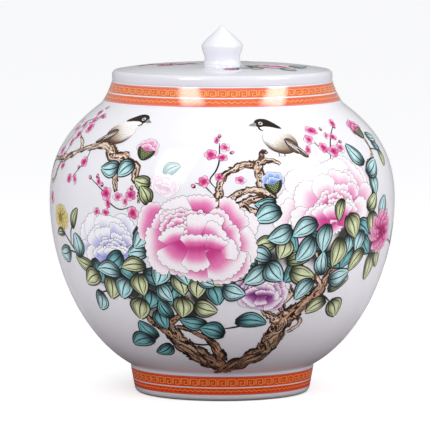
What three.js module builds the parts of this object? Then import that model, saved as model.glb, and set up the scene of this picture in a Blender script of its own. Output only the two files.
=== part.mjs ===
// Ginger jar: a round-bellied porcelain jar on a low foot ring, with a flat lift-off lid and a
// pointed bud-shaped knob. Millimetres, +Z up, origin on the ground under the centre of the foot.
// Every outline below is half of a section through the jar, as points (radius, height).

import * as THREE from 'three';

// ---- Driving dimensions ---------------------------------------------------------------------

const SEGMENTS = 64; // sides of the turned jar and lid
const KNOB_SEGMENTS = 40;
const CURVE_STEPS = 8; // straight pieces in each long curve of the belly
const SMALL_STEPS = 3; // straight pieces in each small rounding
const NECK_STEPS = 5; // straight pieces in the neck, and in each curve of the knob

const WALL = 6; // thickness of the potted wall
const BELLY_RADIUS = 130;
const BELLY_HEIGHT = 146; // height of the widest ring
const RIM_RADIUS = 83;
const RIM_HEIGHT = 235; // top of the jar, where the lid rests
const RIM_EDGE = 0.8; // rounding of the rim's two edges

// Where the belly meets the neck and the foot: the slope of the wall there in degrees, and the
// length of its curve handle. The other two lengths are the handles at the widest ring.
const SHOULDER = { radius: 92, height: 217.2, slope: 37, reach: 32.6 };
const FOOT_JOIN = { radius: 69.6, height: 21.5, slope: 29, reach: 43 };
const BELLY_REACH_DOWN = 49;
const BELLY_REACH_UP = 31.2;
const NECK_SWEEP = 3; // curve handle from the shoulder into the neck
const NECK_FLARE = { out: 2.4, down: 9 }; // curve handle down from the rim, giving the neck its taper

const FOOT_TOP = { radius: 69.1, height: 19.4 };
const FOOT_OUTER = 66.2; // radius of the foot just above its rounded edge
const FOOT_EDGE = 4; // height and depth of that rounding
const FOOT_INNER = 57; // inside radius of the ring that the jar stands on
const FOOT_BEVEL = 1; // bevel on the ring's inside edge
const FOOT_RECESS = 12; // height of the hollow under the base
const RECESS_RADIUS = 54; // radius of that hollow at its ceiling
const RECESS_ROUND = 4; // rounding between its ceiling and its side
const FLOOR_HEIGHT = 20; // inside floor at the centre
const FLOOR_FLAT = 30; // radius of the floor's nearly flat middle

const LID_RADIUS = 82.9;
const LID_EDGE_HEIGHT = 8; // height of the lid's upright edge with its rounding
const LID_EDGE_ROUND = 3.5;
const LID_CROWN = 4; // rise of the lid's top from edge to centre
const LID_CROWN_POWER = 3;
const LID_CEILING = 5; // underside of the lid above the rim
const FLANGE_OUTER = 75; // ring under the lid that centres it in the mouth
const FLANGE_INNER = 69;
const FLANGE_DEPTH = 10;
const FLANGE_CHAMFER = 1.2;
const FLANGE_FILLET = 3; // rounding inside the ring, under the lid

const KNOB_HEIGHT = 29;
const KNOB_FOOT_RADIUS = 14.4; // flared foot, luted to the lid's flat landing
const KNOB_FOOT_HEIGHT = 0.8;
const KNOB_WAIST = { radius: 13.2, height: 3.6 };
const KNOB_BULGE = { radius: 15.5, height: 13.6 };
const KNOB_TIP_ROUND = 0.9;
const KNOB_SWELL = 3.5; // length of the curve handles between waist and bulge
const KNOB_SHOULDER = { handle: 2.6, radius: 5.4, drop: 4.6 }; // how full the point above it is
const LANDING_RADIUS = 16; // flat in the middle of the lid for the knob

const LID_TOP = RIM_HEIGHT + LID_EDGE_HEIGHT + LID_CROWN;

// ---- Materials ------------------------------------------------------------------------------

function glaze(color) {
  return new THREE.MeshStandardMaterial({ color, roughness: 0.12, metalness: 0 });
}

const porcelain = glaze(0xf1f1f4);
const lidPorcelain = glaze(0xeeeef2);
const knobPorcelain = glaze(0xf6f6f8);

// ---- Outline helpers ------------------------------------------------------------------------

function rad(degrees) {
  return THREE.MathUtils.degToRad(degrees);
}

// Adds the points of a cubic curve to an outline, leaving out its first point when it is there.
function addCurve(outline, start, handleA, handleB, end, steps) {
  const curve = new THREE.CubicBezierCurve(start, handleA, handleB, end);
  const points = curve.getPoints(steps);
  const last = outline[outline.length - 1];
  if (last && last.distanceTo(points[0]) < 1e-6) points.shift();
  outline.push(...points);
}

// Adds a quarter-round corner whose handles meet at the corner point.
function addCorner(outline, start, corner, end) {
  const roundness = 0.55;
  const handleA = start.clone().lerp(corner, roundness);
  const handleB = end.clone().lerp(corner, roundness);
  addCurve(outline, start, handleA, handleB, end, SMALL_STEPS);
}

function point(radius, height) {
  return new THREE.Vector2(radius, height);
}

// Moves an outline sideways by a distance, square to its own direction, to its left-hand side.
function offset(outline, distance) {
  return outline.map((p, i) => {
    const before = outline[Math.max(i - 1, 0)];
    const after = outline[Math.min(i + 1, outline.length - 1)];
    const along = after.clone().sub(before).normalize();
    return point(p.x - along.y * distance, p.y + along.x * distance);
  });
}

// Thins an outline where less roundness will do, keeping both ends.
function everySecond(outline) {
  return outline.filter((p, i) => i % 2 === 0 || i === outline.length - 1);
}

// Turns an outline about the jar's upright axis into a closed solid.
function turned(outline, segments) {
  const geometry = new THREE.LatheGeometry(outline, segments);
  geometry.rotateX(Math.PI / 2);
  return geometry;
}

function piece(name, geometry, material) {
  const mesh = new THREE.Mesh(geometry, material);
  mesh.name = name;
  return mesh;
}

// ---- Jar body -------------------------------------------------------------------------------

// The outer wall, from where it leaves the foot to the top of the neck.
function outerWall() {
  const wall = [];
  const widest = point(BELLY_RADIUS, BELLY_HEIGHT);
  const foot = point(FOOT_JOIN.radius, FOOT_JOIN.height);
  const footHandle = point(
    foot.x + FOOT_JOIN.reach * Math.cos(rad(FOOT_JOIN.slope)),
    foot.y + FOOT_JOIN.reach * Math.sin(rad(FOOT_JOIN.slope)),
  );
  const underBelly = point(BELLY_RADIUS, BELLY_HEIGHT - BELLY_REACH_DOWN);
  addCurve(wall, foot, footHandle, underBelly, widest, CURVE_STEPS);

  const shoulder = point(SHOULDER.radius, SHOULDER.height);
  const shoulderCos = Math.cos(rad(SHOULDER.slope));
  const shoulderSin = Math.sin(rad(SHOULDER.slope));
  const overBelly = point(BELLY_RADIUS, BELLY_HEIGHT + BELLY_REACH_UP);
  const shoulderHandle = point(
    shoulder.x + SHOULDER.reach * shoulderCos,
    shoulder.y - SHOULDER.reach * shoulderSin,
  );
  addCurve(wall, widest, overBelly, shoulderHandle, shoulder, CURVE_STEPS);

  const neckHandle = point(
    shoulder.x - NECK_SWEEP * shoulderCos,
    shoulder.y + NECK_SWEEP * shoulderSin,
  );
  const rimHandle = point(RIM_RADIUS + NECK_FLARE.out, RIM_HEIGHT - NECK_FLARE.down);
  const neckTop = point(RIM_RADIUS, RIM_HEIGHT - RIM_EDGE);
  addCurve(wall, shoulder, neckHandle, rimHandle, neckTop, NECK_STEPS);
  return wall;
}

function jarBody() {
  const wall = outerWall();
  const innerWall = everySecond(offset(wall, WALL)).reverse();
  const mouth = innerWall[0].x;
  innerWall[0].y = RIM_HEIGHT - RIM_EDGE;

  const outline = [point(0, FOOT_RECESS)];
  const recessSide = point(RECESS_RADIUS + 1, FOOT_RECESS - RECESS_ROUND);
  addCorner(
    outline,
    point(RECESS_RADIUS - RECESS_ROUND, FOOT_RECESS),
    point(RECESS_RADIUS, FOOT_RECESS),
    recessSide,
  );
  addCorner(
    outline,
    point(FOOT_INNER, FOOT_BEVEL),
    point(FOOT_INNER, 0),
    point(FOOT_INNER + FOOT_BEVEL, 0),
  );
  addCorner(
    outline,
    point(FOOT_OUTER - FOOT_EDGE, 0),
    point(FOOT_OUTER, 0),
    point(FOOT_OUTER, FOOT_EDGE),
  );
  const footTop = point(FOOT_TOP.radius, FOOT_TOP.height);
  addCorner(outline, footTop, point(footTop.x, wall[0].y), wall[0]);
  outline.push(...wall.slice(1));
  addCorner(
    outline,
    wall[wall.length - 1],
    point(RIM_RADIUS, RIM_HEIGHT),
    point(RIM_RADIUS - RIM_EDGE, RIM_HEIGHT),
  );
  addCorner(outline, point(mouth + RIM_EDGE, RIM_HEIGHT), point(mouth, RIM_HEIGHT), innerWall[0]);
  outline.push(...innerWall.slice(1));

  const floorEdge = innerWall[innerWall.length - 1];
  addCurve(
    outline,
    floorEdge,
    point((floorEdge.x + FLOOR_FLAT) / 2, FLOOR_HEIGHT),
    point(FLOOR_FLAT, FLOOR_HEIGHT),
    point(0, FLOOR_HEIGHT),
    SMALL_STEPS,
  );
  return turned(outline, SEGMENTS);
}

// ---- Lid ------------------------------------------------------------------------------------

function lid() {
  const ceiling = RIM_HEIGHT + LID_CEILING;
  const flangeEnd = RIM_HEIGHT - FLANGE_DEPTH;
  const edgeTop = RIM_HEIGHT + LID_EDGE_HEIGHT;
  const crownStart = LID_RADIUS - LID_EDGE_ROUND;

  const outline = [point(0, ceiling)];
  addCorner(
    outline,
    point(FLANGE_INNER - FLANGE_FILLET, ceiling),
    point(FLANGE_INNER, ceiling),
    point(FLANGE_INNER, ceiling - FLANGE_FILLET),
  );
  outline.push(
    point(FLANGE_INNER, flangeEnd + FLANGE_CHAMFER),
    point(FLANGE_INNER + FLANGE_CHAMFER, flangeEnd),
    point(FLANGE_OUTER - FLANGE_CHAMFER, flangeEnd),
    point(FLANGE_OUTER, flangeEnd + FLANGE_CHAMFER),
    point(FLANGE_OUTER, RIM_HEIGHT),
  );
  addCorner(
    outline,
    point(LID_RADIUS - RIM_EDGE, RIM_HEIGHT),
    point(LID_RADIUS, RIM_HEIGHT),
    point(LID_RADIUS, RIM_HEIGHT + RIM_EDGE),
  );
  addCorner(
    outline,
    point(LID_RADIUS, edgeTop - LID_EDGE_ROUND),
    point(LID_RADIUS, edgeTop),
    point(crownStart, edgeTop),
  );
  for (let i = 1; i <= CURVE_STEPS; i += 1) {
    const share = 1 - i / CURVE_STEPS;
    const radius = LANDING_RADIUS + (crownStart - LANDING_RADIUS) * share;
    outline.push(point(radius, edgeTop + LID_CROWN * (1 - share ** LID_CROWN_POWER)));
  }
  outline.push(point(0, LID_TOP));
  return turned(outline, SEGMENTS);
}

// ---- Knob -----------------------------------------------------------------------------------

function knob() {
  const tip = LID_TOP + KNOB_HEIGHT;
  const waist = point(KNOB_WAIST.radius, LID_TOP + KNOB_WAIST.height);
  const bulge = point(KNOB_BULGE.radius, LID_TOP + KNOB_BULGE.height);

  const outline = [point(0, LID_TOP), point(KNOB_FOOT_RADIUS, LID_TOP)];
  const flare = point(KNOB_FOOT_RADIUS, LID_TOP + KNOB_FOOT_HEIGHT);
  addCorner(outline, flare, point(waist.x, flare.y), waist);
  addCurve(
    outline,
    waist,
    point(waist.x, waist.y + KNOB_SWELL),
    point(bulge.x, bulge.y - KNOB_SWELL),
    bulge,
    NECK_STEPS,
  );
  addCurve(
    outline,
    bulge,
    point(bulge.x, bulge.y + KNOB_SHOULDER.handle),
    point(KNOB_SHOULDER.radius, tip - KNOB_SHOULDER.drop),
    point(KNOB_TIP_ROUND, tip - KNOB_TIP_ROUND / 2),
    NECK_STEPS,
  );
  outline.push(point(0, tip));
  return turned(outline, KNOB_SEGMENTS);
}

// ---- Assembly -------------------------------------------------------------------------------

const gingerJar = new THREE.Group();
gingerJar.name = 'ginger_jar';
gingerJar.add(piece('jar_body', jarBody(), porcelain));

const liftOffLid = new THREE.Group();
liftOffLid.name = 'lift_off_lid';
liftOffLid.add(piece('lid', lid(), lidPorcelain));
liftOffLid.add(piece('lid_knob', knob(), knobPorcelain));
gingerJar.add(liftOffLid);

export default gingerJar;
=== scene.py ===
"""Ginger jar: white glazed porcelain with overglaze enamel flowers, birds and fret bands.

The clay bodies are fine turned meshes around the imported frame. The decoration is relief enamel: each
petal, leaf, feather and line is a thin sheet of mesh laid on the wall, a little higher than the paint
under it. Places on the wall are (degrees, millimetres): 0 degrees is the painted front, positive to
its right, and the height is above the ground.
"""

import math

import bpy
import numpy as np
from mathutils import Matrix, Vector


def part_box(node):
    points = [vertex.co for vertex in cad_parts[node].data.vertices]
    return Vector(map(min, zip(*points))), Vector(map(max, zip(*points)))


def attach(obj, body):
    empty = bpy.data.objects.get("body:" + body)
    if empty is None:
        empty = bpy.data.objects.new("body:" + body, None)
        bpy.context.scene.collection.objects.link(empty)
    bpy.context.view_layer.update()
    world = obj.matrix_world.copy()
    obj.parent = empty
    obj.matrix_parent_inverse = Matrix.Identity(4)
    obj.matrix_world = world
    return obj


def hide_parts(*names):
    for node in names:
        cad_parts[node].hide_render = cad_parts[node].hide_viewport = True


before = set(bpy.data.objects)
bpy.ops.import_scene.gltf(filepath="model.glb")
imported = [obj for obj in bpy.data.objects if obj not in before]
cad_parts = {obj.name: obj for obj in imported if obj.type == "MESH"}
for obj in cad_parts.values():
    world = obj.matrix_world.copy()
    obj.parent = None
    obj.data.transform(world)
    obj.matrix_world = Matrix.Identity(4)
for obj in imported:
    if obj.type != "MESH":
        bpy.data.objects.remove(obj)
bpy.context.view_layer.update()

MM = 0.001


# ---- The jar's shape, in millimetres ---------------------------------------------------------

BELLY = 130.0                    # radius of the widest ring
BELLY_HEIGHT = 146.0             # height of that ring
WALL = 6.0                       # thickness of the clay
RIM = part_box("jar_body")[1][2] / MM
RIM_RADIUS = 83.0
RIM_EDGE = 0.8                   # the rounding of the rim and of the lid's lower edge
FOOT_OUTER = 66.2                # the foot ring's radii
FOOT_EDGE = 4.0                  # the rounding of the foot's outer edge
FOOT_INNER = 57.0
RECESS = 12.0                    # height of the hollow under the base
FLOOR = 20.0                     # height of the jar's inside floor
LID_RADIUS = 82.9
LID_EDGE = 8.0                   # height of the lid's upright edge
LID_ROUND = 3.5                  # its rounding at the top
LID_CROWN = 4.0                  # rise of the lid's top to its middle
LANDING = 16.0                   # radius of the flat part under the knob
LID_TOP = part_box("lid")[1][2] / MM
KNOB_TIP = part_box("lid_knob")[1][2] / MM
AROUND = 256                     # sides of a turned surface


def curve(a, b, c, d, steps):
    """A cubic curve from a to d with handles b and c, without its first point."""
    a, b, c, d = (np.array(p, float) for p in (a, b, c, d))
    t = np.linspace(0, 1, steps + 1)[1:, None]
    return (1 - t) ** 3 * a + 3 * (1 - t) ** 2 * t * b + 3 * (1 - t) * t * t * c + t ** 3 * d


def corner(a, middle, d, steps=6):
    """A quarter-round corner between a and d, without its first point."""
    a, m, d = (np.array(p, float) for p in (a, middle, d))
    return curve(a, a + (m - a) * 0.55, d + (m - d) * 0.55, d, steps)


def outer_wall(fineness=1):
    """The wall's outside, from the foot's bottom edge to the top of the neck."""
    slope_foot, slope_neck = math.radians(29), math.radians(37)
    join = np.array((69.6, 21.5))
    shoulder = np.array((92.0, 217.2))
    to_neck = np.array((-math.cos(slope_neck), math.sin(slope_neck)))
    to_belly = np.array((math.cos(slope_foot), math.sin(slope_foot)))
    edge = (FOOT_OUTER, FOOT_EDGE)
    widest = (BELLY, BELLY_HEIGHT)
    return np.vstack([
        [(FOOT_OUTER - FOOT_EDGE, 0.0)],
        corner((FOOT_OUTER - FOOT_EDGE, 0.0), (FOOT_OUTER, 0.0), edge),
        curve(edge, (67.2, 9.0), (68.1, 14.0), (69.1, 19.4), 8),
        corner((69.1, 19.4), (69.1, 21.5), join, 4),
        curve(join, join + 43 * to_belly, (BELLY, BELLY_HEIGHT - 49), widest, 56 * fineness),
        curve(widest, (BELLY, BELLY_HEIGHT + 31.2), shoulder - 32.6 * to_neck, shoulder, 40 * fineness),
        curve(shoulder, shoulder + 3 * to_neck, (RIM_RADIUS + 2.4, RIM - 9),
              (RIM_RADIUS, RIM - RIM_EDGE), 14),
    ])


def jar_section():
    """The whole half-section of the jar, from the recess under its base round to its floor."""
    wall = outer_wall()
    belly = wall[wall[:, 1] > 21.4]
    along = np.gradient(belly, axis=0)
    along /= np.hypot(*along.T)[:, None]
    inside = (belly + WALL * np.stack([-along[:, 1], along[:, 0]], 1))[::-1]
    mouth = inside[0][0]
    inside[0][1] = RIM - RIM_EDGE
    ring = (FOOT_INNER + 1, 0.0)
    return np.vstack([
        [(0, RECESS), (25, RECESS), (50, RECESS)],
        corner((50, RECESS), (54, RECESS), (55, RECESS - 4)),
        [(FOOT_INNER, 1.0)],
        corner((FOOT_INNER, 1.0), (FOOT_INNER, 0.0), ring, 3),
        wall,
        corner((RIM_RADIUS, RIM - RIM_EDGE), (RIM_RADIUS, RIM), (RIM_RADIUS - RIM_EDGE, RIM)),
        [(mouth + RIM_EDGE, RIM)],
        corner((mouth + RIM_EDGE, RIM), (mouth, RIM), inside[0]),
        inside[1:],
        curve(inside[-1], ((inside[-1][0] + 30) / 2, FLOOR), (30, FLOOR), (0, FLOOR), 10),
    ])


def crown(radius):
    """Height of the lid's gently domed top at a radius."""
    start = LID_RADIUS - LID_ROUND
    share = np.clip((np.asarray(radius, float) - LANDING) / (start - LANDING), 0, 1)
    return LID_TOP - LID_CROWN * share ** 3


def lid_section():
    ceiling, flange, top = RIM + 5, RIM - 10, RIM + LID_EDGE
    start = LID_RADIUS - LID_ROUND
    radii = np.linspace(start, LANDING, 30)[1:]
    return np.vstack([
        [(0, ceiling), (40, ceiling), (66, ceiling)],
        corner((66, ceiling), (69, ceiling), (69, ceiling - 3)),
        [(69, flange + 1.2)],
        corner((69, flange + 1.2), (69, flange), (70.2, flange), 4),
        [(73.8, flange)],
        corner((73.8, flange), (75, flange), (75, flange + 1.2), 4),
        [(75, RIM), (LID_RADIUS - RIM_EDGE, RIM)],
        corner((LID_RADIUS - RIM_EDGE, RIM), (LID_RADIUS, RIM), (LID_RADIUS, RIM + RIM_EDGE), 4),
        [(LID_RADIUS, top - LID_ROUND)],
        corner((LID_RADIUS, top - LID_ROUND), (LID_RADIUS, top), (start, top), 8),
        np.stack([radii, crown(radii)], 1),
        [(0, LID_TOP)],
    ])


def knob_section():
    """The knob: a flared foot, a slim waist, a full shoulder and an upswept point."""
    waist, bulge = (13.2, LID_TOP + 3.6), (15.5, LID_TOP + 13.6)
    flare = (14.4, LID_TOP + 0.4)
    return np.vstack([
        [(0, LID_TOP), (14.4, LID_TOP), flare],
        corner(flare, (waist[0], flare[1] + 0.4), waist, 8),
        curve(waist, (waist[0], waist[1] + 3.5), (bulge[0], bulge[1] - 3.5), bulge, 12),
        curve(bulge, (bulge[0], bulge[1] + 2.6), (5.4, KNOB_TIP - 4.6), (0.9, KNOB_TIP - 0.45), 16),
        corner((0.9, KNOB_TIP - 0.45), (0.5, KNOB_TIP), (0, KNOB_TIP), 3),
    ])


# ---- Meshes ----------------------------------------------------------------------------------

def new_object(name, verts, faces):
    mesh = bpy.data.meshes.new(name)
    mesh.from_pydata(verts, [], faces)
    mesh.update()
    piece = bpy.data.objects.new(name, mesh)
    bpy.context.scene.collection.objects.link(piece)
    return piece


def turned(name, section):
    """A closed surface turned about the jar's axis from a half-section that ends on the axis."""
    section = np.asarray(section, float)
    middle = section[1:-1]
    angles = np.arange(AROUND) * 2 * math.pi / AROUND
    r, z = middle[:, :1], middle[:, 1:]
    rings = np.stack([r * np.sin(angles), -r * np.cos(angles), z + 0 * angles], 2)
    ends = np.array([(0, 0, section[0][1]), (0, 0, section[-1][1])])
    verts = np.vstack([rings.reshape(-1, 3), ends]) * MM
    start, end = len(verts) - 2, len(verts) - 1
    last = (len(middle) - 1) * AROUND
    faces = []
    for j in range(AROUND):
        k = (j + 1) % AROUND
        faces.append((start, k, j))
        faces.append((end, last + j, last + k))
        for i in range(0, last, AROUND):
            faces.append((i + j, i + k, i + AROUND + k, i + AROUND + j))
    piece = new_object(name, verts.tolist(), faces)
    piece.data.shade_smooth()
    piece.data.set_sharp_from_angle(angle=math.radians(50))
    return piece


# ---- Materials -------------------------------------------------------------------------------

def linear(code):
    """Linear colour of a web colour such as #ffa040."""
    parts = [int(code[i:i + 2], 16) / 255 for i in (1, 3, 5)]
    return np.array([c / 12.92 if c <= 0.04045 else ((c + 0.055) / 1.055) ** 2.4 for c in parts])


def material(name, **values):
    """A new Principled material, its shader and its node tree."""
    mat = bpy.data.materials.new(name)
    mat.use_nodes = True
    shader = mat.node_tree.nodes["Principled BSDF"]
    for socket, value in values.items():
        shader.inputs[socket.replace("_", " ").title().replace("Ior", "IOR")].default_value = value
    return mat, shader, mat.node_tree


def node(tree, kind, inputs, **settings):
    """A new shader node. Each input is a plain value, or another node's output to link from."""
    made = tree.nodes.new("ShaderNode" + kind)
    for setting, value in settings.items():
        setattr(made, setting, value)
    for socket, value in inputs.items():
        if isinstance(value, bpy.types.NodeSocket):
            tree.links.new(value, made.inputs[socket])
        else:
            made.inputs[socket].default_value = value
    return made


def own_place(tree):
    """The shaded point's place in the piece's own space, in metres."""
    return node(tree, "TexCoord", {}).outputs["Object"]


def noise(tree, scale, detail, rough=0.55):
    """Noise in the piece's own space, with a scale in repeats to the metre."""
    sockets = {"Vector": own_place(tree), "Scale": scale, "Detail": detail, "Roughness": rough}
    return node(tree, "TexNoise", sockets).outputs["Fac"]


def spread(tree, value, low, high, start=0.3, stop=0.7, shape="LINEAR"):
    """Maps the value's range start to stop onto low to high."""
    sockets = {"Value": value, "From Min": start, "From Max": stop, "To Min": low, "To Max": high}
    return node(tree, "MapRange", sockets, interpolation_type=shape).outputs["Result"]


def bump(tree, shader, value, depth, strength):
    made = node(tree, "Bump", {"Strength": strength, "Distance": depth * MM, "Height": value})
    tree.links.new(made.outputs["Normal"], shader.inputs["Normal"])


def blend_colours(tree, factor, a, b):
    sockets = {"Factor": factor, "A": (*a, 1), "B": (*b, 1)}
    return node(tree, "Mix", sockets, data_type="RGBA").outputs["Result"]


def mottled(tree, shader, grain, a, b):
    """A base colour that wanders between two colours with the grain."""
    tree.links.new(blend_colours(tree, spread(tree, grain, 0, 1), a, b), shader.inputs["Base Color"])


def porcelain(name, tint):
    """White body under a thick clear glaze, with faint cloudiness and a slight orange-peel."""
    mat, shader, tree = material(name, roughness=0.07, ior=1.52, coat_weight=0.35, coat_roughness=0.03)
    mottled(tree, shader, noise(tree, 22, 4), linear(tint) * 0.975, linear(tint))
    bump(tree, shader, noise(tree, 260, 1.5), 0.012, 0.6)
    return mat


def biscuit():
    """Bare fired clay where the glaze is wiped off the foot."""
    mat, shader, tree = material("biscuit", roughness=0.75)
    grain = noise(tree, 2600, 3)
    mottled(tree, shader, grain, linear("#cfc4b4"), linear("#e8e0d4"))
    bump(tree, shader, grain, 0.05, 0.7)
    return mat


def enamel(name, mottle, scale, roughness, relief, coat, ior):
    """Fired enamel: the painted colour, thicker and thinner from brush mark to brush mark."""
    mat, shader, tree = material(
        name, roughness=roughness, ior=ior, coat_weight=coat, coat_roughness=0.06)
    paint = node(tree, "VertexColor", {}, layer_name="paint")
    grain = noise(tree, scale, 4, 0.6)
    amount = spread(tree, grain, 1 - mottle, 1 + mottle * 0.4)
    level = node(tree, "CombineColor", {"Red": amount, "Green": amount, "Blue": amount})
    sockets = {"Factor": 1.0, "A": paint.outputs["Color"], "B": level.outputs["Color"]}
    shade = node(tree, "Mix", sockets, data_type="RGBA", blend_type="MULTIPLY")
    tree.links.new(shade.outputs["Result"], shader.inputs["Base Color"])
    bump(tree, shader, grain, relief, 0.5)
    return mat


def gilding():
    """Liquid gold fired on: bright, a little worn and uneven."""
    mat, shader, tree = material("gilding", metallic=0.15, roughness=0.4, ior=1.35)
    wear = noise(tree, 900, 4)
    mottled(tree, shader, wear, linear("#f0ae4a"), linear("#ffd98a"))
    bump(tree, shader, wear, 0.03, 0.6)
    return mat


JAR_GLAZE = porcelain("porcelain_jar", "#f1f1f6")
# The lid is the jar's porcelain, tinted greyer: painted shade for the dimmer look of its top.
SHADED_LID_GLAZE = porcelain("porcelain_lid_shaded", "#e6e6ee")
KNOB_GLAZE = porcelain("porcelain_knob", "#f0f1f8")
BISCUIT = biscuit()
# Mottling, grain in repeats to the metre, roughness, relief in mm, coat, index of refraction.
ENAMELS = {
    "wash": (0.03, 400, 0.08, 0.01, 0.35, 1.5),
    "petal": (0.07, 700, 0.2, 0.02, 0.2, 1.4),
    "leaf": (0.2, 900, 0.2, 0.05, 0.0, 1.33),
    "bark": (0.4, 1100, 0.35, 0.1, 0.0, 1.35),
    "ground": (0.1, 500, 0.16, 0.03, 0.04, 1.33),
    "glossy": (0.1, 500, 0.09, 0.03, 0.6, 1.78),
    "feather": (0.15, 1500, 0.4, 0.03, 0.0, 1.3),
}
FINISHES = {name: enamel("enamel_" + name, *values) for name, values in ENAMELS.items()}
FINISHES["gold"] = gilding()


# ---- Painted surfaces ------------------------------------------------------------------------

PAINT_FINENESS = 4               # how much finer than the glaze the painted wall is divided
CELL = 1.25                      # size of the squares that the paint's height is kept in
BASE_LIFT = 0.05                 # the first coat above the glaze
COAT = 0.018                     # and each further one
LINE_COAT = 0.5                  # a line stands this share of a coat above what it crosses
NEIGHBOURS = [(dc, dr) for dc in (-1, 0, 1) for dr in (-1, 0, 1)]


class Wall:
    """The jar's outer wall. A point on it is (degrees round, length up the wall)."""

    def __init__(self):
        self.radius, self.height = outer_wall(PAINT_FINENESS).T
        steps = np.hypot(np.diff(self.radius), np.diff(self.height))
        self.length = np.concatenate([[0], np.cumsum(steps)])
        dr, dz = np.gradient(self.radius, self.length), np.gradient(self.height, self.length)
        size = np.hypot(dr, dz)
        self.out, self.rise = dz / size, -dr / size
        self.columns = int(2 * math.pi * BELLY / CELL)
        self.coats = np.zeros((self.columns, int(self.length[-1] / CELL) + 3))

    def up(self, height):
        return np.interp(height, self.height, self.length)

    def around(self, length):
        return np.interp(length, self.length, self.radius)

    def from_local(self, anchor, xy):
        s = self.up(anchor[1]) + xy[:, 1]
        return anchor[0] + np.degrees(xy[:, 0] / self.around(s)), s

    def to_local(self, anchor, points):
        points = np.asarray(points, float)
        s = self.up(points[:, 1])
        x = np.radians(points[:, 0] - anchor[0]) * self.around(s)
        return np.stack([x, s - self.up(anchor[1])], 1)

    def place(self, p, q, lift):
        r = self.around(q) + lift * np.interp(q, self.length, self.out)
        z = np.interp(q, self.length, self.height) + lift * np.interp(q, self.length, self.rise)
        t = np.radians(p)
        return np.stack([r * np.sin(t), -r * np.cos(t), z], 1) * MM

    def cells(self, p, q):
        column = np.floor(np.asarray(p) / 360 * self.columns).astype(int) % self.columns
        row = np.clip(np.floor(np.asarray(q) / CELL).astype(int), 1, self.coats.shape[1] - 2)
        return column, row


class LidTop:
    """The lid's top, a shallow dome. A point on it is (x, y) in the jar's own frame."""

    def __init__(self):
        self.columns = int(2 * LID_RADIUS / CELL) + 3
        self.coats = np.zeros((self.columns, self.columns))

    def from_local(self, anchor, xy):
        return anchor[0] + xy[:, 0], anchor[1] + xy[:, 1]

    def place(self, p, q, lift):
        return np.stack([p, q, crown(np.hypot(p, q)) + lift], 1) * MM

    def cells(self, p, q):
        limit = self.columns - 2
        column = np.clip(((p + LID_RADIUS) / CELL).astype(int), 1, limit)
        return column, np.clip(((q + LID_RADIUS) / CELL).astype(int), 1, limit)


class Painting:
    """Collects sheets of enamel on one surface into named pieces."""

    def __init__(self, surface, body, slot):
        self.surface, self.body, self.slot_name = surface, body, slot
        self.pieces = {}
        self.counts = {}

    def lay(self, piece, finish, verts, faces, rgb):
        """Adds one sheet to a piece."""
        part = self.pieces.setdefault((piece, finish), ([], [], []))
        first = self.counts.get((piece, finish), 0)
        self.counts[piece, finish] = first + len(verts)
        part[0].append(verts)
        part[1].extend(tuple(first + i for i in face) for face in faces)
        part[2].append(rgb)

    def paint(self, piece, finish, motif, anchor, heading=0.0, size=1.0, mirror=False):
        """Lays a motif's sheets in order. heading turns its +Y clockwise from up, in degrees."""
        coats = self.surface.coats
        for flat, quads, rgb, is_line in moved(motif, 0, 0, heading, 1.0, size, mirror):
            a, b, c = (flat[[f[i] for f in quads]] for i in range(3))
            area = np.sum((b - a)[:, 0] * (c - a)[:, 1] - (b - a)[:, 1] * (c - a)[:, 0])
            p, q = self.surface.from_local(anchor, flat)
            column, row = self.surface.cells(p, q)
            level = coats[column, row].max() + (LINE_COAT if is_line else 1)
            for dc, dr in () if is_line else NEIGHBOURS:
                cell = ((column + dc) % len(coats), row + dr)
                coats[cell] = np.maximum(coats[cell], level)
            faces = quads if area > 0 else [f[::-1] for f in quads]
            self.lay(piece, finish, self.surface.place(p, q, BASE_LIFT + COAT * level), faces, rgb)

    def finish(self):
        """Makes the objects: one for each piece, with a material slot for each of its finishes."""
        names = sorted({piece for piece, _ in self.pieces})
        for name in names:
            parts = [(f, v) for (p, f), v in self.pieces.items() if p == name]
            verts, faces, colours, slots = [], [], [], []
            count = 0
            for index, (_, (v, f, c)) in enumerate(parts):
                verts.append(np.vstack(v))
                colours.append(np.vstack(c))
                faces += [tuple(count + i for i in face) for face in f]
                slots += [index] * len(f)
                count += len(verts[-1])
            piece = new_object(name, np.vstack(verts).tolist(), faces)
            rgba = np.ones((count, 4), np.float32)
            rgba[:, :3] = np.clip(np.vstack(colours), 0, 1)
            layer = piece.data.color_attributes.new("paint", "FLOAT_COLOR", "POINT")
            layer.data.foreach_set("color", rgba.ravel())
            for finish, _ in parts:
                piece.data.materials.append(FINISHES[finish])
            piece.data.polygons.foreach_set("material_index", slots)
            piece.data.shade_smooth()
            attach(piece, self.body)


# ---- Sheets: (points, faces, colours, is it a line) ------------------------------------------

def mix(a, b, t):
    t = np.clip(np.asarray(t, float), 0, 1)[..., None]
    return a * (1 - t) + b * t


def smooth(x, start, stop):
    t = np.clip((x - start) / (stop - start), 0, 1)
    return t * t * (3 - 2 * t)


def grid(rows, columns):
    """The quads of a grid with this many rows and columns of them."""
    wide = columns + 1
    return [(i * wide + j, i * wide + j + 1, (i + 1) * wide + j + 1, (i + 1) * wide + j)
            for i in range(rows) for j in range(columns)]


def sheet(shape, colour, nu, nv, u0):
    """A grid of quads over u (u0 to 1, base to tip) and v (-1 to 1, side to side)."""
    u, v = np.meshgrid(np.linspace(u0, 1, nu + 1), np.linspace(-1, 1, nv + 1), indexing="ij")
    x, y = shape(u, v)
    return np.stack([x.ravel(), y.ravel()], 1), grid(nu, nv), colour(u, v).reshape(-1, 3), False


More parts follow.
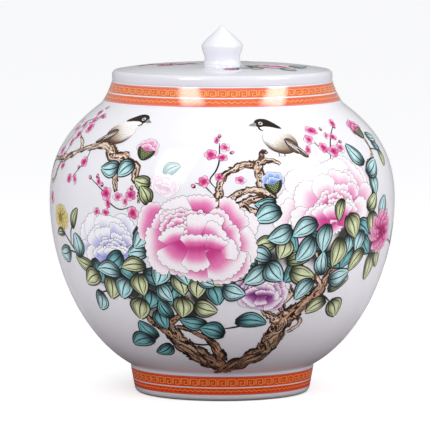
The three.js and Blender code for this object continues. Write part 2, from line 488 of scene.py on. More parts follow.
def resample(points, step, closed=False):
    """Points along a smooth curve through the given ones, about step apart."""
    p = np.asarray(points, float)
    if closed:
        p = np.vstack([p[-1], p, p[:2]])
    else:
        p = np.vstack([2 * p[0] - p[1], p, 2 * p[-1] - p[-2]])
    out = []
    for a, b, c, d in zip(p, p[1:], p[2:], p[3:]):
        n = max(int(math.dist(b, c) / step), 1)
        for t in np.arange(n) / n:
            out.append(0.5 * (2 * b + (c - a) * t + (2 * a - 5 * b + 4 * c - d) * t * t
                              + (3 * b - a - 3 * c + d) * t ** 3))
    if not closed:
        out.append(p[-2])
    return np.array(out)


def sides(points, widths):
    """The left and right edges of a line with the given widths."""
    along = np.gradient(points, axis=0)
    along /= np.maximum(np.hypot(*along.T), 1e-9)[:, None]
    square = np.stack([-along[:, 1], along[:, 0]], 1) * np.reshape(widths, (-1, 1)) / 2
    return points + square, points - square


def strip(left, right, colour):
    """A painted line between two edges."""
    n = len(left)
    quads = [(i, i + n, i + n + 1, i + 1) for i in range(n - 1)]
    return np.vstack([left, right]), quads, np.tile(colour, (2 * n, 1)), True


def line(points, width, colour, taper=True):
    """A painted line, thinning to both ends when it tapers."""
    t = np.linspace(0, 1, len(points))
    widths = width * (0.35 + 0.65 * np.sin(math.pi * t) ** 0.6 if taper else np.ones(len(t)))
    return strip(*sides(points, widths), colour)


def ribbon(points, widths, colour, across):
    """A broad stroke such as a branch, coloured over (t along, v across)."""
    n = len(points)
    left, right = sides(points, widths)
    v = np.linspace(0, 1, across + 1)[None, :, None]
    xy = left[:, None] * (1 - v) + right[:, None] * v
    t, w = np.meshgrid(np.linspace(0, 1, n), np.linspace(-1, 1, across + 1), indexing="ij")
    return xy.reshape(-1, 2), grid(n - 1, across), colour(t, w).reshape(-1, 3), False


def blob(points, colour, rings, step=1.4, centre=None):
    """A filled shape with a smooth outline, coloured over (points, share from middle to edge)."""
    edge = resample(points, step, closed=True)
    middle = np.mean(edge, 0) if centre is None else np.asarray(centre, float)
    n = len(edge)
    shares = np.linspace(0, 1, rings + 1)[1:]
    xy = np.vstack([[middle]] + [middle + (edge - middle) * s for s in shares])
    share = np.concatenate([[0]] + [np.full(n, s) for s in shares])
    quads = [(0, 1 + j, 1 + (j + 1) % n) for j in range(n)]
    for i in range(rings - 1):
        a, b = 1 + i * n, 1 + (i + 1) * n
        quads += [(a + j, b + j, b + (j + 1) % n, a + (j + 1) % n) for j in range(n)]
    return xy, quads, colour(xy, share), False


def outline_of(points, width, colour, step):
    edge = resample(points, step, closed=True)
    return line(np.vstack([edge, edge[:1]]), width, colour, taper=False)


def plain(tone):
    """A blob's colour that is the same all over."""
    return lambda xy, share: np.tile(tone, (len(xy), 1))


def spot(centre, radius, colour, corners):
    angles = np.arange(corners) * 2 * math.pi / corners
    ring = np.stack([np.cos(angles), np.sin(angles)], 1) * radius + centre
    quads = [(0, 1 + j, 1 + (j + 1) % corners) for j in range(corners)]
    return np.vstack([[centre], ring]), quads, np.tile(colour, (corners + 1, 1)), True


# ---- Motifs ----------------------------------------------------------------------------------

def palette(*codes):
    return [linear(code) for code in codes]


# edge, middle, deep, line
PINK = palette("#fbf6fa", "#ea78b6", "#cc2f87", "#5c2647")
PALE = palette("#fefcfe", "#f2a3cd", "#d23a90", "#8a4a74")
VIOLET = palette("#fbfbfe", "#b9baec", "#9091dc", "#3c3c60")
PURPLE = palette("#f9eef8", "#b460ac", "#6d1f6a", "#451a44")
ROSE = palette("#f7c6dd", "#e0409a", "#b01f6a", "#6c143f")
PLUM = palette("#f8cfe2", "#e04a9a", "#c22478", "#7a1246")
YELLOW = palette("#f8f2b8", "#e6cc52", "#b08420", "#7d6d28")
BLUE = palette("#f4f8ff", "#9dbcf2", "#4c7ce0", "#47608c")
# Pink washed almost to white: painted highlight, the lamps' glare over this small flower high on the front.
GLARE_PALED_PINK = palette("#fdfafc", "#f8e4f0", "#f2cfe4", "#e2c6dc")
# light, middle, dark, line
TEAL = palette("#d2f5f7", "#8cd2d8", "#0f2528", "#081517")
DEEP = palette("#8ccacd", "#428c93", "#0a1c1f", "#061113")
GREEN = palette("#e6edc4", "#b2c084", "#25270f", "#141508")
# Teal washed almost to white: painted highlight, the lamps' glare over this leaf.
GLARE_PALED_TEAL = palette("#e4f2f1", "#cfe7e6", "#a9c9c8", "#9ab6b8")
GLOOM = linear("#0d0a06")
BARK = palette("#fdead8", "#d8ac8a", "#5a3219", "#341b0d")
OLD_BARK = palette("#deab84", "#82563c", "#170a05", "#0a0402")


def petal(length, fan, colours, lobes, lean, ragged, deep, seed, thin=0.28, foot=0.0):
    """A fan-shaped petal from (0, 0) up: deep colour at its base, pale along a scalloped edge."""
    edge, middle, base, dark = colours
    half = math.radians(fan) / 2

    def scallop(v):
        return np.abs(np.sin(math.pi * lobes * (v + 1 + 0.08 * np.sin(4 * v + seed)) / 2)) ** 0.5

    def rim(v):
        wave = 1 + 0.05 * np.sin(3 * v + 5 * seed)
        return length * wave * (1 - 0.16 * np.abs(v) ** 3) * (1 - ragged * (1 - scallop(v)))

    def shape(u, v):
        angle = half * v * (0.75 + 0.25 * u)
        reach = rim(v) * u
        side = reach * np.sin(angle) + lean * length * u * u + foot * length * v
        return side, reach * np.cos(angle)

    def colour(u, v):
        streak = 0.02 * np.cos(5 * v + 9 * seed) - 0.07 * (1 - scallop(v))
        rich = smooth(u + streak, deep - 0.4, deep)
        pale = smooth(u + streak, deep - 0.04, min(deep + 0.34, 1.0))
        return mix(mix(base, middle, rich), edge, pale)

    across = lobes * max(int(length * 2 * half / lobes / 0.9), 5)
    fill = sheet(shape, colour, max(int(length / 2), 4), across, 0.06)
    v = np.linspace(-1, 1, across + 1)
    u = np.linspace(0.3, 1, 6)[:-1]
    rising = np.stack(shape(u, np.full(5, -1.0)), 1)
    over = np.stack(shape(np.ones_like(v), v), 1)
    falling = np.stack(shape(u[::-1], np.full(5, 1.0)), 1)
    return [fill, line(np.vstack([rising, over, falling]), thin, dark)]


def moved(motif, x, y, heading, squash=1.0, size=1.0, mirror=False):
    """The motif scaled, mirrored, turned clockwise, squashed in height and moved."""
    t = math.radians(heading)
    out = []
    for xy, quads, rgb, is_line in motif:
        a, b = xy[:, 0] * size * (-1 if mirror else 1), xy[:, 1] * size
        across = a * math.cos(t) + b * math.sin(t) + x
        up = (b * math.cos(t) - a * math.sin(t)) * squash + y
        out.append((np.stack([across, up], 1), quads, rgb, is_line))
    return out


EIGHTHS = np.arange(8) * math.pi / 4
SCATTER = 2.4                    # a turn in radians that spreads points evenly over a disc


# Petals of a peony as (x, y, heading, length, fan, depth of colour), in shares of its radius.
OPEN_PEONY = {
    "behind": [
        (-0.26, 0.32, -14, 0.5, 84, 0.34), (0.02, 0.4, 12, 0.46, 72, 0.6),
        (-0.36, 0.14, -64, 0.74, 60, 0.74), (0.46, 0.16, 62, 0.6, 44, 0.4),
        (0.34, 0.18, 42, 0.62, 62, 0.6), (-0.4, 0.1, -48, 0.5, 62, 0.62), (0.44, 0.0, 98, 0.58, 82, 0.5),
        (0.2, 0.12, 38, 0.5, 60, 0.6), (0.3, 0.04, 76, 0.46, 62, 0.62), (-0.3, 0.16, -24, 0.46, 56, 0.62),
        (0.06, 0.2, 4, 0.36, 56, 0.62), (-0.2, -0.14, -155, 0.48, 70, 0.7),
        (0.18, -0.06, 136, 0.76, 66, 0.78), (0.0, -0.16, 176, 0.52, 70, 0.7),
    ],
    "below": [
        (-0.32, 0.04, -112, 0.64, 66, 0.6), (-0.26, -0.02, -146, 0.5, 60, 0.5),
        (0.24, -0.06, 146, 0.6, 64, 0.52), (-0.02, -0.04, -178, 0.44, 48, 0.5),
    ],
    "lip": [
        (0.08, 0.06, 6, 0.48, 24, 0.3), (0.18, 0.02, 42, 0.36, 26, 0.42), (0.38, -0.1, 84, 0.3, 20, 0.2),
        (0.26, -0.1, 14, 0.26, 60, 0.42), (-0.38, 0.0, -24, 0.28, 70, 0.38),
        (-0.04, -0.08, -4, 0.26, 62, 0.42),
    ],
    "heart": (-0.2, 0.28, 0.32, 0.2, 18),
    "spread": 0.26,
}
CUPPED_PEONY = {
    # Petals turned left keep less deep colour than those turned right: painted highlight, paling the flower's
    # upper left as the lamps' glare would.
    "behind": [
        (-0.1, -0.2, -58, 0.98, 46, 0.56), (0.1, -0.2, 56, 0.98, 46, 0.7),
        (-0.1, -0.2, -30, 1.0, 44, 0.5), (0.1, -0.2, 30, 0.98, 44, 0.68), (0, -0.2, 0, 0.94, 50, 0.52),
        (-0.2, -0.2, -80, 0.86, 36, 0.6), (0.2, -0.2, 78, 0.84, 36, 0.66),
        (0.12, -0.1, 44, 0.68, 36, 0.66), (-0.1, -0.15, -44, 0.7, 48, 0.5),
        (0.1, -0.1, 18, 0.66, 40, 0.64), (-0.05, -0.12, -14, 0.6, 48, 0.5),
        (0.3, -0.08, 36, 0.42, 46, 0.64), (0.2, -0.1, 8, 0.42, 44, 0.6),
    ],
    "below": [
        (0.0, -0.3, 160, 0.24, 110, 0.6), (0.0, -0.3, -96, 0.9, 42, 0.56),
        (0.05, -0.3, 86, 0.8, 46, 0.56), (-0.1, -0.26, -78, 0.7, 34, 0.5),
    ],
    "lip": [
        (-0.32, -0.2, -30, 0.22, 80, 0.4), (0.34, -0.2, 30, 0.22, 80, 0.42),
        (-0.14, -0.24, -8, 0.26, 84, 0.4), (0.18, -0.24, 10, 0.26, 80, 0.42),
        (0.02, -0.26, 0, 0.24, 80, 0.42),
    ],
    "heart": (0.06, 0.0, 0.3, 0.1, 8),
    "spread": 0.08,
}


def peony(plan, radius, colours, seed):
    """A peony in full flower: petals behind and below its heart, frills, and a rolled front lip."""
    dice = np.random.default_rng(seed)

    def row(petals, foot):
        out = []
        for x, y, heading, length, fan, deep in petals:
            lobes = max(round(length * (math.radians(fan) + 2 * foot) / 0.11), 2)
            one = petal(length * radius, fan, colours, lobes, dice.uniform(-0.08, 0.08), 0.045 / length,
                        deep + dice.uniform(-0.04, 0.04), dice.uniform(0, 3), 0.28, foot)
            out += moved(one, x * radius, y * radius, heading)
        return out

    x0, y0, wide, tall, count = plan["heart"]
    frills = []
    for k in range(count):
        angle, reach = SCATTER * k, math.sqrt((k + 0.5) / count)
        x, y = x0 + wide * reach * math.sin(angle), y0 + tall * reach * math.cos(angle)
        frills.append((x, y, 70 * (x - x0) / wide + dice.uniform(-20, 20), 0.17, 104, 0.5))
    frills.sort(key=lambda frill: -frill[1])
    ring = [(x0 + 0.16 + 1.4 * wide * math.sin(t), y0 - 0.16 + 1.3 * tall * math.cos(t))
            for t in EIGHTHS]
    throat = blob(np.array(ring) * radius, plain(colours[2]), 4)
    return (row(plan["behind"], 0.1) + [throat] + row(plan["below"], plan["spread"])
            + row(frills, 0.1) + row(plan["lip"], 0.5))


def many_petals(radius, colours, seed, tilt, rings):
    """A chrysanthemum: rings of slim petals closing on the middle."""
    dice = np.random.default_rng(seed)
    motif = []
    for k, count in enumerate(rings):
        reach = radius * (1 - 0.17 * k)
        for i in range(count):
            heading = (i + 0.5 * (k % 2)) * 360 / count + dice.uniform(-5, 5)
            one = petal(reach * (1 + dice.uniform(-0.08, 0.05)), 30, colours, 1,
                        dice.uniform(-0.1, 0.1), 0.08, 0.75, 0.0, 0.25)
            motif += moved(one, 0, 0, heading, tilt)
    return motif


VEINS = 3
LEAF_SPAN = (0.02, 0.985)        # the share of a leaf's length that is painted


def leaf(length, width, colours, bend=0.12):
    """A broad pointed leaf centred on (0, 0): dark at its base, ribbed by long bowed veins."""
    light, middle, dark, ink = colours

    def half_width(u):
        return width / 2 * np.sin(math.pi * np.clip(u, 0, 1) ** 0.85) ** 0.72

    def shape(u, v):
        x = half_width(u) * v + bend * length * 4 * (u - u * u)
        return x, length * (u - 0.5)

    def colour(u, v):
        rib = np.abs(np.sin(math.pi * (VEINS + 1) / 2 * (v + 1))) ** 0.5
        glow = rib * np.sin(math.pi * np.clip(u, 0, 1) ** 1.3) ** 0.6
        shade = np.maximum(1 - smooth(u, 0.06, 0.55), 0.9 * smooth(v, 0.35, 1.0))
        shade = np.maximum(shade, 0.6 * smooth(-v, 0.7, 1.0))
        return mix(mix(middle, light, glow), dark, shade)

    rows, across = max(int(length / 1.5), 8), max(int(width / 1.3), 8)
    start, stop = LEAF_SPAN
    motif = [sheet(lambda u, v: shape(np.clip(u, start, stop), v), colour, rows, across, start)]
    u = np.linspace(start, stop, max(int(length / 1.1), 10))
    for side in (-1, 1):
        motif.append(line(np.stack(shape(u, np.full_like(u, side)), 1), 0.85, ink, taper=False))
    for k in range(1, VEINS + 1):
        v = -1 + 2 * k / (VEINS + 1)
        centre = abs(v) < 1e-6
        reach = u[(u < (0.97 if centre else 0.86)) & (u > (0.0 if centre else 0.08))]
        bow = np.full_like(reach, v) * (0.5 + 0.9 * np.sin(math.pi * reach))
        motif.append(line(np.stack(shape(reach, bow), 1), 0.85 if centre else 0.65, ink))
    return motif


def blossom(radius, colours, turn, squash=1.0):
    """A five-petalled plum blossom with a starred heart."""
    edge, middle, deep, ink = colours
    motif = []
    for i in range(5):
        a = math.radians(turn + 72 * i)
        c = np.array([math.sin(a), math.cos(a)]) * radius * 0.56
        size = radius * (0.5 if i % 2 else 0.43)
        ring = [c + size * np.array([math.cos(t), math.sin(t)]) for t in EIGHTHS]
        pale = mix(middle, edge, (0.35, 1.0, 0.6, 0.9, 0.2)[i])

        def colour(xy, share):
            reach = np.hypot(*xy.T) / radius
            return mix(mix(deep, middle, smooth(reach, 0.1, 0.5)), pale, smooth(reach, 0.4, 0.85))

        motif.append(blob(ring, colour, 3, 0.9))
        motif.append(outline_of(ring, 0.34, mix(deep, ink, 0.35), 0.9))
    for i in range(9):
        a = math.radians(turn + 16 + 40 * i)
        tip = np.array([math.sin(a), math.cos(a)]) * radius * (0.6 if i % 2 else 0.45)
        motif.append(line(np.array([tip * 0.1, tip * 0.55, tip]), 0.3, deep))
        if i % 2:
            motif.append(spot(tip, 0.3, linear("#e8c25a"), 6))
    motif.append(spot(np.zeros(2), radius * 0.12, ink, 7))
    return moved(motif, 0, 0, 0, squash)


def small_bud(size, colours):
    """A closed plum bud on its dark calyx."""
    edge, _, deep, ink = colours
    body = [(-0.55, 0.1), (-0.5, 0.7), (0, 1.15), (0.5, 0.7), (0.55, 0.1), (0, -0.25)]
    cup = [(-0.5, 0.1), (-0.3, 0.35), (0, 0.2), (0.3, 0.35), (0.5, 0.1), (0, -0.35)]

    def glow(xy, share):
        return mix(edge, deep, share * 0.9)

    calyx = plain(ink * 0.7)
    return [blob(np.array(body) * size, glow, 3, 0.8), blob(np.array(cup) * size, calyx, 2, 0.8)]


def big_bud(size, colours, seed):
    """A half-open peony bud in a scaly green calyx."""
    dice = np.random.default_rng(seed)
    motif = []
    petals = ((-52, 0.84), (52, 0.88), (-24, 1.02), (28, 1.0), (2, 1.04), (-36, 0.68), (38, 0.7), (0, 0.72))
    for heading, reach in petals:
        one = petal(size * reach, 50, colours, 2, 0, 0.1, 0.84, dice.uniform(0, 3))
        motif += moved(one, 0, -0.1 * size, heading)
    dark, light = linear("#1f2611"), linear("#c6cf92")
    cup = [(-0.56, 0.3), (-0.3, 0.24), (0, 0.12), (0.3, 0.24), (0.56, 0.3), (0.52, -0.06), (0.26, -0.36),
           (0, -0.46), (-0.26, -0.36), (-0.52, -0.06)]

    def calyx(xy, share):
        return mix(linear("#46522a"), dark, share)

    motif.append(blob(np.array(cup) * size, calyx, 3, 1.2))
    for row in range(6):
        y = (0.16 - 0.1 * row) * size
        reach = 0.48 - 0.065 * row
        for k in range(9):
            x = (k - 4 + 0.5 * (row % 2)) * 0.12 * size
            if abs(x) < reach * size:
                scale = np.array([(x - 0.045 * size, y), (x, y + 0.05 * size), (x + 0.045 * size, y)])
                motif.append(line(scale, 0.42, light))
    return motif


def branch(points, widths, colours, seed, knots, tip=None):
    """A gnarled branch: lumpy edges, a lit middle, dark flanks, streaks, spurs and knots.

    Its colours can change towards those of a second palette at its tip.
    """
    dice = np.random.default_rng(seed)
    light, middle, dark, ink = colours
    path = resample(points, 1.3)
    n = len(path)
    t = np.linspace(0, 1, n)
    rough = np.convolve(dice.uniform(-0.5, 0.5, n + 4), np.ones(5) / 5, mode="valid")
    lumps = 1 + 0.1 * np.sin(np.arange(n) * 0.7 + seed) + rough
    width = np.interp(t, np.linspace(0, 1, len(widths)), widths) * lumps
    path = path + 0.25 * np.minimum(width, 2.4)[:, None] * dice.uniform(-1, 1, (n, 2))
    across = max(int(max(widths)), 4)
    marks = dice.uniform(0, 1, (n, across + 1))
    for _ in range(2):
        marks[1:-1] = (marks[:-2] + marks[1:-1] + marks[2:]) / 3
    marks = np.clip((marks - 0.3) / 0.4, 0, 1)
    young = tip or colours

    def colour(u, v):
        lit = 1 - smooth(np.abs(v - 0.15), 0.1, 0.85)
        change = u if tip else 0 * u
        tone = mix(mix(middle, young[1], change), mix(light, young[0], change), lit * marks)
        flank = smooth(np.abs(v), 0.5, 0.95) + 0.5 * smooth(-v, 0.2, 0.9)
        return mix(tone, dark, np.maximum(flank, 0.95 * smooth(1 - marks, 0.55, 0.8)))

    motif = [ribbon(path, width, colour, across)]
    left, right = sides(path, width)
    motif.append(line(left, 0.5, dark, taper=False))
    motif.append(line(right, 0.8, ink, taper=False))
    streaks = int(max(widths) / 1.3)
    for k in range(streaks):
        v = (k + 1) / (streaks + 1)
        for start in range(int(dice.integers(0, 5)), n - 4, 7):
            stop = min(start + int(dice.integers(4, 9)), n - 1)
            drift = v + dice.uniform(-0.08, 0.08) + np.linspace(0, dice.uniform(-0.14, 0.14), stop - start)
            drift = drift[:, None]
            run = left[start:stop] * drift + right[start:stop] * (1 - drift)
            if len(run) > 2:
                tone, weight = ((ink, 1.4), (light, 1.0))[(k + start) % 2]
                motif.append(line(run, dice.uniform(0.4, 1.0) * weight, tone))
    for _ in range(knots):
        i = int(dice.integers(2, max(n - 3, 3)))
        size = width[i] * dice.uniform(0.14, 0.22)
        v = dice.uniform(0.3, 0.7)
        centre = left[i] * v + right[i] * (1 - v)
        motif.append(spot(centre, size * 1.45, light, 9))
        motif.append(spot(centre, size, ink, 8))
        motif.append(spot(centre + size * 0.25, size * 0.45, dark, 7))
        side, other = (left, right) if dice.uniform() < 0.5 else (right, left)
        out = (side[i] - other[i]) * 0.5
        ahead = (path[i + 1] - path[i]) * 0.8
        reach = out * min(1.0, 2.0 / width[i])
        spur = np.array([side[i] - reach * 0.6, side[i] + reach * 0.4 + ahead,
                         side[i] + reach * 0.6 + 2 * ahead])
        motif.append(line(resample(spur, 0.8), min(max(width[i] * 0.3, 0.6), 1.4), dark))
    return motif


def bird(colours):
    """A plump songbird in profile, facing right: white breast, dark hood, barred wing and tail."""
    back, pale, bars, cap = colours
    white, black, horn, foot = palette("#fdfcfb", "#1d1512", "#9a9a9c", "#6a4230")
    body = [(9, 15), (13.5, 9), (13.5, 1), (8.5, -6), (0, -9), (-8, -8), (-13.5, -3), (-13, 4), (-8, 10),
            (0, 14)]
    head = [(3, 14), (4, 20), (8.5, 24), (14, 23.6), (17.2, 19.6), (16, 14), (12, 11)]
    hood = [(-3.5, 14.5), (2, 20.6), (8, 24.6), (14.4, 24), (17.6, 20), (17, 17.4), (14.4, 15.6),
            (10, 16.6), (4, 15.8)]
    tail = [(-10, 1), (-15, -3.5), (-20.5, -9), (-21.5, -12), (-18, -12), (-13, -8.5), (-7, -6)]
    wing = [(-3, 4), (-4, -1), (-7, -6), (-12, -9), (-15.5, -7.5), (-14, -2.5), (-11, 2), (-7, 5)]

    def plumage(xy, share):
        across = -xy[:, 0] * 0.62 - xy[:, 1] * 0.78
        soft = smooth(across, -4, 10) * 0.8 + smooth(share, 0.55, 1.0) * smooth(4 - xy[:, 1], 0, 12)
        rim = smooth(share, 0.68, 1.0) * smooth(5 - xy[:, 1], 0, 10)
        return mix(mix(mix(white, pale, smooth(across, -9, 4)), back, soft), bars, rim)

    def shaded(top, low):
        return lambda xy, share: mix(top, low, smooth(share, 0.2, 1.0))

    motif = [blob(tail, shaded(back, bars), 3, 1.4), blob(body, plumage, 8, 1.3)]
    motif += [blob(head, plain(white), 4, 1.3), blob(wing, shaded(back, bars), 5, 1.3)]
    for k in range(30):
        angle, reach = SCATTER * k, 9.5 * math.sqrt((k + 1) / 30)
        x, y = 1 + 1.15 * reach * math.cos(angle), 3.5 + reach * 0.85 * math.sin(angle)
        hair = np.array([(x + 1.3, y + 0.9), (x, y), (x - 1.5, y - 0.7)])
        motif.append(line(hair, 0.22, mix(pale, back, 0.5 if y > 4 else 0.9)))
    for k in range(7):
        start = np.array((-4.4 - 1.2 * k, 3.4 - 1.0 * k))
        feather = np.array([start, start + (-0.8, -3.2), start + (-2.6, -5.2)])
        motif.append(line(resample(feather, 1.2), 0.5, white))
        motif.append(line(resample(feather + (0.8, 0.1), 1.2), 0.45, black))
    motif.append(line(resample([(-11, -4), (-15, -7), (-20, -11.4)], 1.4), 0.5, black))
    motif.append(line(resample([(-11, -2.4), (-16, -6), (-20.4, -10)], 1.4), 0.5, white))
    motif.append(line(resample([(12, 10.5), (14, 5), (11.5, -2), (4, -7)], 1.3), 0.3, back))
    motif.append(blob(hood, plain(cap), 4, 1.1, centre=(10, 20)))
    motif.append(blob([(16.4, 20.6), (22, 17.6), (16.6, 16.8)], plain(horn), 2, 1.1))
    motif.append(line(np.array([(16.6, 18.7), (19, 18.2), (21.8, 17.6)]), 0.24, black))
    motif.append(line(resample([(15, 17), (14.2, 13.6), (11.8, 12)], 1.0), 1.6, cap))
    motif += [spot(np.array((12.2, 19.8)), 1.7, white, 10), spot(np.array((12.3, 19.8)), 1.1, black, 9)]
    motif.append(spot(np.array((12.7, 20.3)), 0.34, white, 6))
    for x in (-1.5, 3.0):
        leg = np.array([(x, -7.0), (x + 0.7, -8.8), (x + 0.3, -10.4)])
        motif.append(line(leg, 0.8, foot, taper=False))
        for toe in (-1.8, 0.2, 2.0):
            claw = np.array([leg[-1], leg[-1] + (toe * 0.6, -0.5), leg[-1] + (toe, -1.2)])
            motif.append(line(claw, 0.45, foot))
    return motif


# ---- Porcelain -------------------------------------------------------------------------------

def clay(name, section, glaze, solid, body):
    piece = turned(name, section)
    piece.data.materials.append(glaze)
    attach(piece, body)
    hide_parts(solid)
    return piece


jar = clay("jar_porcelain", jar_section(), JAR_GLAZE, "jar_body", "jar")
jar.data.materials.append(BISCUIT)
for face in jar.data.polygons:
    x, y, z = face.center / MM
    if z < 0.9 and math.hypot(x, y) > FOOT_INNER - 1:
        face.material_index = 1
clay("lid_porcelain", lid_section(), SHADED_LID_GLAZE, "lid", "cover")
clay("knob_porcelain", knob_section(), KNOB_GLAZE, "lid_knob", "cover")

wall = Wall()
on_jar = Painting(wall, "jar", "jar_porcelain")
on_lid = Painting(LidTop(), "cover", "lid_porcelain")


# ---- Fret bands ------------------------------------------------------------------------------

def hoop(piece, finish, low, high, colour):
    """A band of enamel all the way round between two heights."""
    s0, s1 = wall.up(low), wall.up(high)
    rows = max(int((s1 - s0) / 1.6), 1)
    degrees, lengths = np.meshgrid(np.arange(AROUND) * 360 / AROUND, np.linspace(s0, s1, rows + 1))
    shade = 1 + 0.05 * np.sin(np.radians(degrees) * 9 + lengths)
    faces = [(i + j, i + (j + 1) % AROUND, i + AROUND + (j + 1) % AROUND, i + AROUND + j)
             for i in range(0, rows * AROUND, AROUND) for j in range(AROUND)]
    verts = wall.place(degrees.ravel(), lengths.ravel(), BASE_LIFT)
    on_jar.lay(piece, finish, verts, faces, colour * shade.reshape(-1, 1))


def square_line(points, width):
    """A line with square, mitred corners, cut into short lengths."""
    p = np.asarray(points, float)
    dense = [p[0]]
    for a, b in zip(p, p[1:]):
        n = max(int(math.ceil(math.dist(a, b) / 1.8)), 1)
        dense += [a + (b - a) * (i + 1) / n for i in range(n)]
    dense = np.array(dense)
    steps = np.diff(dense, axis=0)
    steps /= np.hypot(*steps.T)[:, None]
    before, after = np.vstack([steps[:1], steps]), np.vstack([steps, steps[-1:]])
    square = np.stack([-(before + after)[:, 1], (before + after)[:, 0]], 1)
    square /= (1 + np.sum(before * after, 1))[:, None]
    return strip(dense + square * width / 2, dense - square * width / 2, np.ones(3))


def fret_unit(wide, tall, width):
    """One square hook and the upright bar beside it, centred on (0, 0)."""
    x, y = wide * 0.35, tall / 2
    hook = [(-x, -y), (-x, y), (x, y), (x, -y), (-0.3 * x, -y), (-0.3 * x, 0.05 * y), (0.35 * x, 0.05 * y)]
    bar = [(wide * 0.5, -y), (wide * 0.5, y)]
    return [square_line(hook, width), square_line(bar, width)]


def zigzag_unit(wide, tall, width):
    return [square_line([(-wide / 2, -tall / 2), (0, tall / 2), (wide / 2, -tall / 2)], width)]


def bands(name, finish, ground, pink, top, parting, low, repeats, waves):
    """The two bands of one border: a square-spiral fret above and a zigzag below a white line."""
    edge, gap = 0.8, 0.45
    upper, lower = (parting + gap, top - edge), (low + edge, parting - gap)
    hoop(name + "_ground", finish, *upper, ground)
    hoop(name + "_ground", finish, *lower, ground)
    hoop(name + "_ground", finish, top - edge, top, pink)
    hoop(name + "_ground", finish, low, low + edge, pink)
    fret_tall = (wall.up(upper[1]) - wall.up(upper[0])) * 0.6
    wave_tall = (wall.up(parting) - wall.up(low)) * 0.2
    for span, count, unit, tall, width in (
            (upper, repeats, fret_unit, fret_tall, 0.36), (lower, waves, zigzag_unit, wave_tall, 0.34)):
        height = sum(span) / 2
        motif = unit(2 * math.pi * wall.around(wall.up(height)) / count, tall, width)
        for i in range(count):
            on_jar.paint(name + "_gilding", "gold", motif, (i * 360 / count, height))


bands("neck_band", "glossy", linear("#ea6226"), linear("#e8808a"), RIM - 0.9, 226.6, 220.4, 69, 118)
bands("foot_band", "ground", linear("#f84e10"), linear("#e8686c"), 19.0, 10.4, 4.9, 60, 104)


# ---- Branches --------------------------------------------------------------------------------

def limb(piece, points, widths, colours, seed, knots, tip=None):
    anchor = np.mean(points, axis=0)
    local = wall.to_local(anchor, points)
    on_jar.paint(piece, "bark", branch(local, widths, colours, seed, knots, tip), anchor)


def stem(piece, points, width):
    anchor = np.mean(points, axis=0)
    local = wall.to_local(anchor, points)
    on_jar.paint(piece, "bark", [line(resample(local, 1.4), width * 1.3, OLD_BARK[2])], anchor)


def grow(pieces):
    """Paints wood in order. A limb's row is (places along it, widths there, palette, seed, knots),
    with one more palette if its tip differs, and a stem's row is (places along it, width).
    """
    for piece, rows in pieces.items():
        for row in rows:
            (stem if len(row) == 2 else limb)(piece, *row)


# Ovals of shade as (degrees, height of the middle, width, the oval's own height).
UNDERGROWTH = [
    (-24, 93, 26, 24), (-12, 95, 30, 22), (0, 94, 26, 20), (-18, 82, 30, 24), (-8, 84, 24, 22),
    (-28, 78, 24, 22), (-37, 96, 22, 26), (-45, 97, 24, 22), (-24, 69, 22, 16), (-12, 71, 24, 14),
    (24, 127, 30, 22), (34, 115, 30, 26), (16, 110, 24, 28), (44, 126, 24, 24), (8, 97, 20, 16),
    (51, 115, 22, 22), (-33, 86, 24, 20), (24, 113, 26, 22), (-28, 122, 18, 26), (56, 132, 16, 26),
    (41, 100, 22, 20), (60, 116, 20, 20),
]


def undergrowth():
    """Dark shade between the leaves: every patch fades out only where no other patch is dark."""
    glaze = linear("#e9e8ed")
    angles = np.arange(10) * math.pi / 5
    for degrees, height, width, tall in UNDERGROWTH:

        def colour(xy, share):
            places, lengths = wall.from_local((degrees, height), xy)
            depth = np.zeros(len(xy))
            for angle, level, broad, high in UNDERGROWTH:
                across = np.radians(places - angle) * wall.around(lengths) / (broad / 2)
                up = (lengths - wall.up(level)) / (high / 2)
                depth = np.maximum(depth, 1 - smooth(np.hypot(across, up), 0.4, 1.0))
            return mix(glaze, GLOOM, depth)

        ring = np.stack([np.cos(angles) * width / 2, np.sin(angles) * tall / 2], 1)
        on_jar.paint("undergrowth", "wash", [blob(ring, colour, 7, 1.3)], (degrees, height))


undergrowth()

